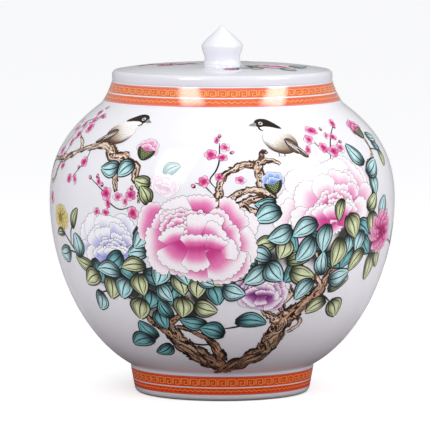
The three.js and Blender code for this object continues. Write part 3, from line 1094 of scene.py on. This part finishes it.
grow({
    "trunk": [
        ([(4, 22.5), (-1, 28), (-7, 34), (-13, 39.5), (-17, 46), (-20, 54), (-21, 62), (-24, 70),
         (-22, 80)], (4, 15, 17, 17, 14, 11, 8, 5, 3), OLD_BARK, 3, 5, BARK),
        ([(-4, 22.5), (3, 27), (9, 31), (14, 35), (19, 42), (21.5, 50), (22, 58), (24, 65), (28, 72),
         (33, 80), (37, 88), (39, 97), (43, 105), (50, 113)],
         (4, 14, 15, 16, 16, 15, 14, 12, 9, 8, 7, 6, 4, 2.4), OLD_BARK, 5, 7, BARK),
        ([(-19, 52), (-24, 58), (-28, 64), (-30, 70)], (8, 6, 5, 3), OLD_BARK, 11, 2),
        ([(-18, 60), (-14, 59), (-10, 55), (-5, 50), (-2, 42), (0, 34)], (4, 4, 4, 5, 8, 10), OLD_BARK, 12,
         3),
        ([(-2, 27), (-8, 31), (-13, 43), (-20, 49), (-22, 57)], (2, 4, 4, 4, 2), OLD_BARK, 18, 1, BARK),
        ([(5, 26), (12, 36), (21, 41), (18, 51), (25, 58), (25, 66)], (2, 4, 4, 4, 4, 3), OLD_BARK, 19, 2,
         BARK),
        ([(-16, 49), (-10, 46.5), (-4, 47)], 1.3),
        ([(-20, 64), (-16, 70), (-17, 78), (-12, 84)], (5, 4, 3, 2), OLD_BARK, 13, 1),
        ([(22, 64), (18, 69), (14, 75)], (6, 5, 3), BARK, 14, 2),
        ([(25, 69), (22, 77), (25, 85), (23, 93)], (6, 4, 4, 3), BARK, 15, 2),
        ([(28, 68), (31, 65), (31, 60), (27, 55)], (3, 3, 3, 2), BARK, 16, 1),
        ([(37, 90), (34, 97), (35, 106), (32, 116)], (5, 4, 3.4, 3), BARK, 17, 2),
        ([(37, 84), (40, 81), (43, 77)], 1.2),
        ([(38, 83), (39.5, 80), (40, 77)], 1.0),
    ],
    "branch_left": [
        ([(-80, 178), (-74, 179), (-67, 182), (-60, 187), (-54, 190), (-48, 192), (-44, 190), (-41, 185),
         (-37, 184), (-33, 181), (-30, 177), (-30, 170), (-27, 163), (-28, 152)],
         (2.2, 2.6, 4, 4.6, 3.6, 4, 5, 8, 10, 9, 6, 5, 4, 2), BARK, 21, 10),
        ([(-60, 188), (-63, 193), (-67, 196)], (3.4, 2.4, 1.4), BARK, 22, 1),
        ([(-65, 184), (-69, 179), (-74, 175), (-76, 164), (-80, 160)], (3, 2.4, 2, 2, 2.4), BARK, 23, 2),
        ([(-38, 178), (-38, 170), (-37, 160)], (4.4, 4.4, 3), BARK, 24, 1),
        ([(-54, 190), (-54, 183), (-56, 176), (-60, 167)], 0.8),
        ([(-49, 168), (-45, 163), (-41, 157), (-39, 151), (-35, 147), (-30, 150)], 0.8),
        ([(-72, 180), (-71, 190), (-69, 202), (-67, 214)], 0.8),
        ([(-80, 182), (-76, 195), (-72, 206), (-63, 211)], 0.7),
    ],
    "branch_middle": [
        ([(12, 178), (13, 170), (14, 163), (17, 156), (18, 150)], (7, 8, 8, 5, 3), BARK, 31, 6),
        ([(12, 178), (9, 181), (5, 179), (1, 174), (-1, 166), (-1, 158), (-3, 149), (-5, 147)],
         (4, 4.6, 4.6, 4.6, 5, 6, 5, 3), BARK, 32, 6),
        ([(14, 161), (9, 163), (5, 160), (2, 156), (-2, 154)], (6, 5, 5, 5, 4), BARK, 33, 4),
        ([(16, 156), (10, 156), (6, 153), (1, 151), (-4, 148)], (4, 4.4, 4.4, 4, 3), BARK, 34, 3),
        ([(7, 153), (9, 149), (13, 146), (16, 148)], (3, 3, 2.4, 2), BARK, 35, 1),
        ([(11, 176), (13, 183), (14, 189), (16, 190)], (6, 6, 4, 3), BARK, 36, 4),
        ([(13, 182), (17, 184), (20, 181)], (4, 3.4, 2), BARK, 37, 2),
        ([(-2, 164), (-4, 170), (-2, 177), (-1, 184), (-1, 196)], 0.9),
        ([(-3, 160), (-6, 166), (-9, 168)], 0.7),
    ],
    "branch_right": [
        ([(40, 181), (42, 190), (45, 198), (50, 205)], 0.8),
        ([(41, 186), (37, 192), (35, 199)], 0.7),
        ([(57, 171), (59, 177), (64, 181), (66, 187), (66, 195)], (2, 2, 2.4, 2, 2), BARK, 41, 1),
        ([(66, 187), (70, 186), (73, 183)], 0.9),
        ([(57, 128), (57, 140), (58, 150), (59, 160), (57, 172)], 1.3),
        ([(50, 113), (56, 112), (61, 110), (66, 112)], 1.3),
    ],
    "branch_violet": [
        ([(-66, 126), (-62, 119), (-58, 112), (-52, 106), (-47, 100), (-41, 96), (-36, 95), (-30, 88),
         (-26, 80)], 1.5),
        ([(-57, 134), (-60, 128), (-61, 118)], 1.1),
        ([(-67, 111), (-62, 112), (-56, 110)], 1.1),
        ([(-51, 80), (-47, 84), (-41, 85), (-33, 79), (-28, 73)], 1.2),
    ],
    "branch_low": [
        ([(11, 64), (6, 61), (0, 59)], 1.2),
    ],
})


# ---- Flowers, leaves and birds of the front --------------------------------------------------

def flower(piece, motif, degrees, height, heading=0.0, finish="petal"):
    on_jar.paint(piece, finish, motif, (degrees, height), heading)


def leaves(piece, rows):
    """Leaves as (palette, degrees, height, heading of the tip, length, width)."""
    for i, (tone, degrees, height, heading, length, width) in enumerate(rows):
        bend = 0.1 if i % 2 else -0.1
        motif = leaf(length * 1.22, width * 1.2, tone, bend)
        on_jar.paint(piece, "leaf", motif, (degrees, height), heading)


flower("peony_violet", peony(CUPPED_PEONY, 33, VIOLET, 4), -40, 119, -4)
flower("peony_right", peony(CUPPED_PEONY, 45, PALE, 8), 38, 151, -4)
flower("peony_purple", peony(OPEN_PEONY, 20, PURPLE, 5), 14, 86, 0)
flower("chrysanthemum_yellow", many_petals(13, YELLOW, 2, 0.8, (15, 13, 10, 7)), -67, 136)

leaves("leaves_under", [(DEEP, *row) for row in (
    (-24, 96, 120, 17, 12), (-17, 86, -160, 17, 13), (-9, 99, -130, 16, 12), (-23, 66, 170, 15, 11),
    (0, 102, 100, 16, 11), (-34, 101, -60, 17, 12), (-3, 86, 160, 16, 12), (23, 125, 150, 17, 12),
    (24, 103, -150, 17, 12), (33, 125, 120, 17, 12), (40, 108, 120, 17, 12), (47, 110, -140, 17, 12),
    (53, 130, 120, 16, 11), (8, 108, -60, 15, 11), (-39, 110, -120, 17, 12), (-47, 100, 160, 17, 12),
    (-27, 133, -120, 14, 10), (56, 118, 140, 15, 11),
)])
leaves("leaves_left", [
    (GREEN, -54, 106, -75, 19, 9), (GREEN, -51, 93, -115, 18, 12), (TEAL, -67, 111, -100, 18, 11),
    (TEAL, -57, 117, -8, 16, 12), (GREEN, -57, 137, 28, 15, 7), (TEAL, -42, 100, -85, 20, 11),
    (GREEN, -43, 88, 190, 16, 13), (TEAL, -36, 88, -150, 16, 13), (TEAL, -51, 77, -155, 16, 11),
    (TEAL, -29, 115, -95, 14, 10), (TEAL, -28, 127, -150, 15, 11), (GREEN, -31, 105, -95, 18, 10),
    (TEAL, -41, 177, -100, 15, 11), (TEAL, -34, 176, -130, 14, 11), (GREEN, -27, 168, -80, 12, 10),
    # The pale leaf here is painted highlight: glare washing out its colour.
    (GREEN, -26, 158, -30, 13, 9), (GLARE_PALED_TEAL, -17, 177, 60, 12, 8), (GREEN, -68, 124, -95, 12, 5),
])
leaves("leaves_middle", [
    (DEEP, -27, 81, 200, 14, 12), (TEAL, -20, 87, 150, 14, 10), (DEEP, -21, 74, -30, 14, 9),
    (GREEN, -29, 92, 175, 15, 13), (GREEN, -15, 93, 160, 15, 12), (GREEN, -8, 91, -170, 14, 12),
    (TEAL, -14, 101, 150, 16, 12), (TEAL, -5, 97, 120, 14, 9), (TEAL, -22, 101, -165, 16, 13),
    (GREEN, -31, 73, -160, 16, 14), (GREEN, -15, 76, 180, 15, 13), (GREEN, -6, 76, 110, 15, 12),
    (DEEP, -11, 65, -80, 17, 10), (DEEP, -4, 57, -70, 16, 13), (DEEP, -31, 57, -40, 16, 12),
    (DEEP, -36, 47, -110, 20, 12), (DEEP, -27, 42, -125, 16, 9), (GREEN, 1, 96, -110, 15, 10),
    (GREEN, 5, 103, -150, 14, 10), (TEAL, 4, 89, 110, 15, 12), (DEEP, 11, 64, 95, 20, 11),
])
leaves("leaves_right", [
    (TEAL, 14, 154, -100, 14, 8), (GREEN, 14, 122, -100, 14, 10), (GREEN, 20, 120, -165, 14, 12),
    (TEAL, 15, 144, -110, 18, 13), (TEAL, 19, 131, -115, 17, 12), (TEAL, 12, 115, -70, 17, 10),
    (TEAL, 11, 101, -130, 17, 12), (TEAL, 18, 103, 140, 16, 13), (GREEN, 26, 110, 85, 16, 9),
    (GREEN, 28, 101, 105, 18, 12), (TEAL, 28, 119, -145, 19, 13), (TEAL, 28, 133, -115, 19, 12),
    (TEAL, 36, 107, -5, 16, 10), (TEAL, 30, 88, -140, 17, 11), (GREEN, 45, 90, 65, 18, 10),
    (TEAL, 44, 97, 75, 18, 12), (TEAL, 46, 120, 180, 12, 9), (TEAL, 52, 121, -160, 15, 11),
    (GREEN, 41, 115, -170, 19, 14), (TEAL, 36, 126, 190, 18, 12), (GREEN, 47, 133, 150, 17, 14),
    (GREEN, 42, 146, -165, 14, 8), (GREEN, 58, 134, 175, 15, 13), (GREEN, 58, 150, 50, 15, 10),
    (TEAL, 60, 162, 165, 13, 10), (TEAL, 61, 175, 60, 18, 11), (TEAL, 54, 185, -40, 18, 11),
    (GREEN, 37, 74, -120, 16, 10), (GREEN, 46, 71, 140, 16, 13), (GREEN, 52, 107, -135, 18, 10),
    (GREEN, 60, 101, 180, 18, 11), (GREEN, 66, 107, 160, 14, 9), (TEAL, 67, 143, 20, 17, 12),
    (TEAL, 73, 195, 100, 14, 9), (GREEN, 73, 180, 190, 12, 9), (DEEP, 73, 189, 110, 12, 7),
])

flower("peony_main", peony(OPEN_PEONY, 43, PINK, 2), -8, 124, 0)
flower("chrysanthemum_pink", many_petals(20, ROSE, 6, 0.85, (13, 11, 9, 7)), 66, 126, finish="feather")
# A small peony in colours washed almost to white: painted highlight, the glare over it.
flower("ghost_peony", peony(OPEN_PEONY, 11, GLARE_PALED_PINK, 9), -19, 165, 10)
flower("buds", big_bud(13, PALE, 3), -28, 188, 14)
flower("buds", big_bud(12, BLUE, 4), 17, 165, -12)
flower("buds", big_bud(13, ROSE, 5), 65, 199, -14)

PLUMS = [
    (-69, 213, 2.6), (-63, 211, 3.2), (-66, 207, 4.2), (-72, 204, 4.2), (-64, 202, 4.2), (-78, 200, 4),
    (-70, 197, 4), (-72, 191, 4), (-78, 184, 4.4), (-73, 182, 3), (-55, 179, 4.2), (-58, 166, 4),
    (-62, 166, 3.4), (-70, 174, 3.6), (-77, 149, 5), (-45, 166, 3.2), (-41, 158, 4.6), (-36, 156, 4.2),
    (-31, 158, 4.4), (-40, 151, 4), (-45, 144, 3), (-41, 144, 3.4), (-30, 145, 4.6), (-33, 153, 3.6),
    (-4, 188, 4.2), (0, 186, 3.8), (1, 193, 3.6), (-2, 198, 3), (-6, 169, 4), (6, 170, 3.8), (-1, 172, 3),
    (32, 190, 3.8), (34, 197, 4.2), (37, 203, 5), (39, 191, 4.2), (43, 199, 3), (43, 188, 4.4),
    (46, 198, 3.6), (47, 190, 4), (51, 207, 4.4),
]
BUDLETS = [
    (-67, 216, 2.6, 40), (-49, 168, 2.6, -60), (-46, 169, 2.4, 10), (-61, 210, 2.6, 60),
    (-80, 205, 3, -30), (-9, 165, 2.6, -50), (-1, 200, 2.4, 0), (50, 204, 2.4, 60), (42, 203, 2.4, 10),
    (48, 194, 2.4, 80), (31, 186, 2.6, -60), (-57, 174, 2.4, -40), (-43, 163, 2.6, -20),
    (-31, 162, 2.6, 20), (3, 189, 2.4, 60),
]
for i, (degrees, height, radius) in enumerate(PLUMS):
    tone = (PLUM, PLUM, PINK)[i % 3]
    open_wide = (1.0, 0.72, 0.9, 0.6)[i % 4]
    flower("plum_blossom", blossom(radius * 1.1, tone, 25 * i, open_wide), degrees, height, 47 * i % 180 - 90,
           finish="feather")
for degrees, height, size, heading in BUDLETS:
    flower("plum_blossom", small_bud(size * 1.1, ROSE), degrees, height, heading, finish="feather")

BIRD = palette("#7d6250", "#cdbba8", "#3c2a20", "#241610")
on_jar.paint("bird_left", "feather", bird(BIRD), (-43, 199.5), 8, 0.92)
on_jar.paint("bird_right", "feather", bird(BIRD), (22, 195), 2, 0.95, mirror=True)


# ---- The back: the same garden, more lightly painted -----------------------------------------

grow({
    "branch_back": [
        ([(-80, 178), (-92, 176), (-104, 182), (-118, 178), (-130, 186)], (2.4, 4, 5, 4, 2), BARK, 51, 5),
        ([(-104, 182), (-112, 192), (-122, 200)], (3.4, 2.6, 1.6), BARK, 52, 1),
        ([(150, 30), (156, 44), (163, 58), (160, 74), (168, 90), (178, 104)], (14, 12, 10, 8, 6, 3),
         OLD_BARK, 53, 8),
        ([(162, 60), (150, 74), (138, 84), (126, 92)], (7, 5.4, 4, 2.4), BARK, 54, 4),
        ([(178, 104), (190, 116), (196, 132), (192, 146)], (3.4, 3, 2.4, 2), BARK, 55, 2),
        ([(-118, 178), (-124, 168), (-132, 160)], 0.9),
        ([(75, 118), (86, 112), (98, 108), (112, 100), (126, 92)], 1.5),
    ],
})
flower("peony_back_pink", peony(OPEN_PEONY, 38, PINK, 12), 168, 126, -6)
flower("peony_back_violet", peony(CUPPED_PEONY, 28, VIOLET, 14), 118, 112, 8)
flower("peony_back_purple", peony(OPEN_PEONY, 20, PURPLE, 15), -148, 100, 4)
leaves("leaves_back", [
    (TEAL, 138, 98, -60, 17, 12), (GREEN, 132, 86, -150, 16, 12), (TEAL, 145, 84, 150, 17, 12),
    (GREEN, 108, 92, -130, 17, 11), (TEAL, 101, 103, -80, 16, 11), (GREEN, 96, 116, -20, 15, 10),
    (TEAL, 150, 100, -30, 17, 12), (GREEN, 155, 90, 170, 16, 12), (TEAL, 170, 92, 160, 17, 12),
    (GREEN, 180, 97, 120, 17, 12), (TEAL, -170, 108, 100, 16, 11), (GREEN, -164, 92, 150, 16, 12),
    (TEAL, -156, 84, 170, 16, 12), (GREEN, -138, 90, 120, 16, 11), (TEAL, -134, 104, 70, 16, 11),
    (TEAL, -172, 146, 20, 16, 11), (GREEN, -161, 140, 60, 15, 10), (DEEP, 143, 46, -100, 18, 11),
    (DEEP, 170, 56, 110, 17, 11), (GREEN, 128, 76, 200, 15, 11), (TEAL, 85, 121, 30, 15, 10),
    (GREEN, 88, 104, 160, 15, 10), (TEAL, -92, 168, 190, 14, 10), (GREEN, -101, 172, 170, 13, 9),
])
for i, (degrees, height, radius) in enumerate([
        (-92, 182, 4.4), (-98, 174, 4), (-108, 186, 4.4), (-113, 194, 4), (-121, 201, 3.6), (-118, 174, 4.2),
        (-126, 183, 4.4), (-131, 188, 3.4), (-126, 166, 4), (-133, 159, 4.2), (-104, 178, 3.6),
        (-164, 158, 4.4), (-170, 164, 4), (-158, 165, 3.6), (-87, 172, 4)]):
    flower("plum_blossom_back", blossom(radius, PLUM if i % 3 else PINK, 31 * i), degrees, height)
stem("branch_back", [(-168, 148), (-167, 156), (-162, 166)], 0.9)


# ---- Sprays on the lid -----------------------------------------------------------------------

def lid_flower(piece, motif, x, y, heading=0.0):
    on_lid.paint(piece, "feather", motif, (x, y), heading)


def lid_stem(points, widths, seed):
    anchor = np.mean(points, axis=0)
    motif = branch(np.asarray(points, float) - anchor, widths, BARK, seed, 2)
    on_lid.paint("lid_sprays", "bark", motif, anchor)


lid_stem([(-18, -2), (-28, 3), (-38, 0), (-50, 6), (-60, 4)], (2, 2.6, 2.4, 2, 1.4), 61)
lid_stem([(-34, 1), (-40, -8), (-47, -12)], (1.8, 1.6, 1.2), 62)
for i, (x, y, radius) in enumerate([(-24, 5, 4), (-31, -3, 4.6), (-38, 5, 4.2), (-46, 1, 4), (-45, -13, 4),
                                     (-54, 9, 4), (-61, 3, 3.4), (-39, -9, 3.6)]):
    lid_flower("lid_blossom", blossom(radius, PLUM, 40 * i), x, y)
lid_stem([(58, -6), (46, -16), (34, -22), (24, -34), (12, -44)], (1.6, 2.4, 3, 2.6, 2), 63)
lid_flower("lid_peony", peony(OPEN_PEONY, 19, PINK, 21), 38, -26)
for tone, x, y, heading, length, width in [
        (TEAL, 17, -44, -110, 16, 10), (GREEN, 27, -46, -160, 14, 9), (TEAL, 56, -20, 70, 15, 10),
        (GREEN, 50, -40, 140, 15, 10), (TEAL, 22, -28, -50, 13, 9), (GREEN, 58, -6, 40, 13, 8)]:
    on_lid.paint("lid_leaves", "leaf", leaf(length, width, tone), (x, y), heading)
lid_flower("lid_blossom", big_bud(9, ROSE, 22), 9, -50, -130)
lid_stem([(20, 44), (8, 52), (-6, 50), (-18, 56)], (1.4, 2, 1.8, 1.2), 64)
for i, (x, y, radius) in enumerate([(18, 46, 4), (8, 50, 4.4), (-4, 52, 4), (-17, 57, 3.6), (1, 44, 3.4)]):
    lid_flower("lid_blossom", blossom(radius, PLUM, 33 * i), x, y)

on_jar.finish()
on_lid.finish()


# ---- Camera, floor and light -----------------------------------------------------------------

AIM = (0.0, 0.0, 0.14)           # what the camera and lamps look at, in metres
LAMP_DISTANCE = 1.3
LAMP_HEIGHT = 1.2


def aimed(thing, place):
    thing.location = place
    thing.rotation_euler = Vector(np.subtract(AIM, place)).to_track_quat("-Z", "Y").to_euler()


def bare_material(name):
    """A new material with an empty node tree."""
    mat = bpy.data.materials.new(name)
    mat.use_nodes = True
    mat.node_tree.nodes.clear()
    return mat, mat.node_tree


camera_data = bpy.data.cameras.new("camera")
camera_data.sensor_width = 36
camera_data.lens = 368
camera_data.shift_x = -0.0167
camera_data.shift_y = -0.0216
camera_data.clip_end = 60
camera = bpy.data.objects.new("camera", camera_data)
aimed(camera, (0, -3.3, 0.44))
bpy.context.scene.collection.objects.link(camera)
bpy.context.scene.camera = camera


def softbox(name, azimuth, elevation, width, strength):
    """A lamp with a soft-edged panel: azimuth 0 is in front, positive to the right, in degrees."""
    mat, tree = bare_material(name)
    axes = node(tree, "SeparateXYZ", {"Vector": own_place(tree)})
    fades = {}
    for i, (axis, size) in enumerate((("X", width), ("Y", LAMP_HEIGHT))):
        side = node(tree, "Math", {0: axes.outputs[axis]}, operation="ABSOLUTE")
        fades[i] = spread(tree, side.outputs["Value"], 0, 1, size * 0.5, size * 0.2, "SMOOTHSTEP")
    glow = node(tree, "Math", fades, operation="MULTIPLY")
    power = node(tree, "Math", {0: glow.outputs["Value"], 1: strength}, operation="MULTIPLY")
    lamp = node(tree, "Emission", {"Strength": power.outputs["Value"]})
    node(tree, "OutputMaterial", {"Surface": lamp.outputs["Emission"]})
    x, y = width / 2, LAMP_HEIGHT / 2
    panel = new_object(name, [(-x, -y, 0), (x, -y, 0), (x, y, 0), (-x, y, 0)], [(0, 3, 2, 1)])
    panel.data.materials.append(mat)
    panel.visible_camera = False
    a, e = math.radians(azimuth), math.radians(elevation)
    outward = np.array((math.sin(a) * math.cos(e), -math.cos(a) * math.cos(e), math.sin(e)))
    aimed(panel, outward * LAMP_DISTANCE + np.array(AIM))


softbox("key_left", -36, 36, 0.6, 7.0)
softbox("key_right", 61, 34, 0.64, 7.6)


def sky(horizon, overhead):
    """A plain white room, dimmer towards the horizon than overhead."""
    world = bpy.data.worlds.new("studio")
    world.use_nodes = True
    tree = world.node_tree
    direction = node(tree, "TexCoord", {}).outputs["Generated"]
    height = node(tree, "SeparateXYZ", {"Vector": direction}).outputs["Z"]
    light = tree.nodes["Background"]
    light.inputs["Color"].default_value = (0.98, 0.985, 1.0, 1)
    level = spread(tree, height, horizon, overhead, 0.02, 0.6, "SMOOTHSTEP")
    tree.links.new(level, light.inputs["Strength"])
    bpy.context.scene.world = world


sky(0.42, 0.6)
bpy.context.scene.view_settings.view_transform = "Standard"


def studio_floor(glow, seen, near, far):
    """Backlit paper to the eye, but it throws little light at the jar from near its foot."""
    mat, tree = bare_material("studio_floor")
    reach = node(tree, "VectorMath", {0: own_place(tree)}, operation="LENGTH").outputs["Value"]
    clear = spread(tree, reach, 0, 1, 0.07, 0.25)
    thrown = node(tree, "BsdfDiffuse", {"Color": blend_colours(tree, clear, near, far)})
    shown = node(tree, "BsdfDiffuse", {"Color": (*seen, 1)})
    backlight = node(tree, "Emission", {"Strength": glow})
    lit = node(tree, "AddShader", {0: shown.outputs["BSDF"], 1: backlight.outputs["Emission"]})
    to_eye = node(tree, "LightPath", {}).outputs["Is Camera Ray"]
    choice = node(tree, "MixShader", {0: to_eye, 1: thrown.outputs["BSDF"], 2: lit.outputs["Shader"]})
    node(tree, "OutputMaterial", {"Surface": choice.outputs["Shader"]})
    return mat


FLOOR_SIZE = 14.0                # metres from the middle to each side
corners = [(x * FLOOR_SIZE, y * FLOOR_SIZE, 0) for x, y in ((-1, -1), (1, -1), (1, 1), (-1, 1))]
floor = new_object("floor", corners, [(0, 1, 2, 3)])
floor.data.materials.append(studio_floor(0.45, (0.86, 0.86, 0.87), (0.16, 0.13, 0.14), (0.7, 0.67, 0.69)))
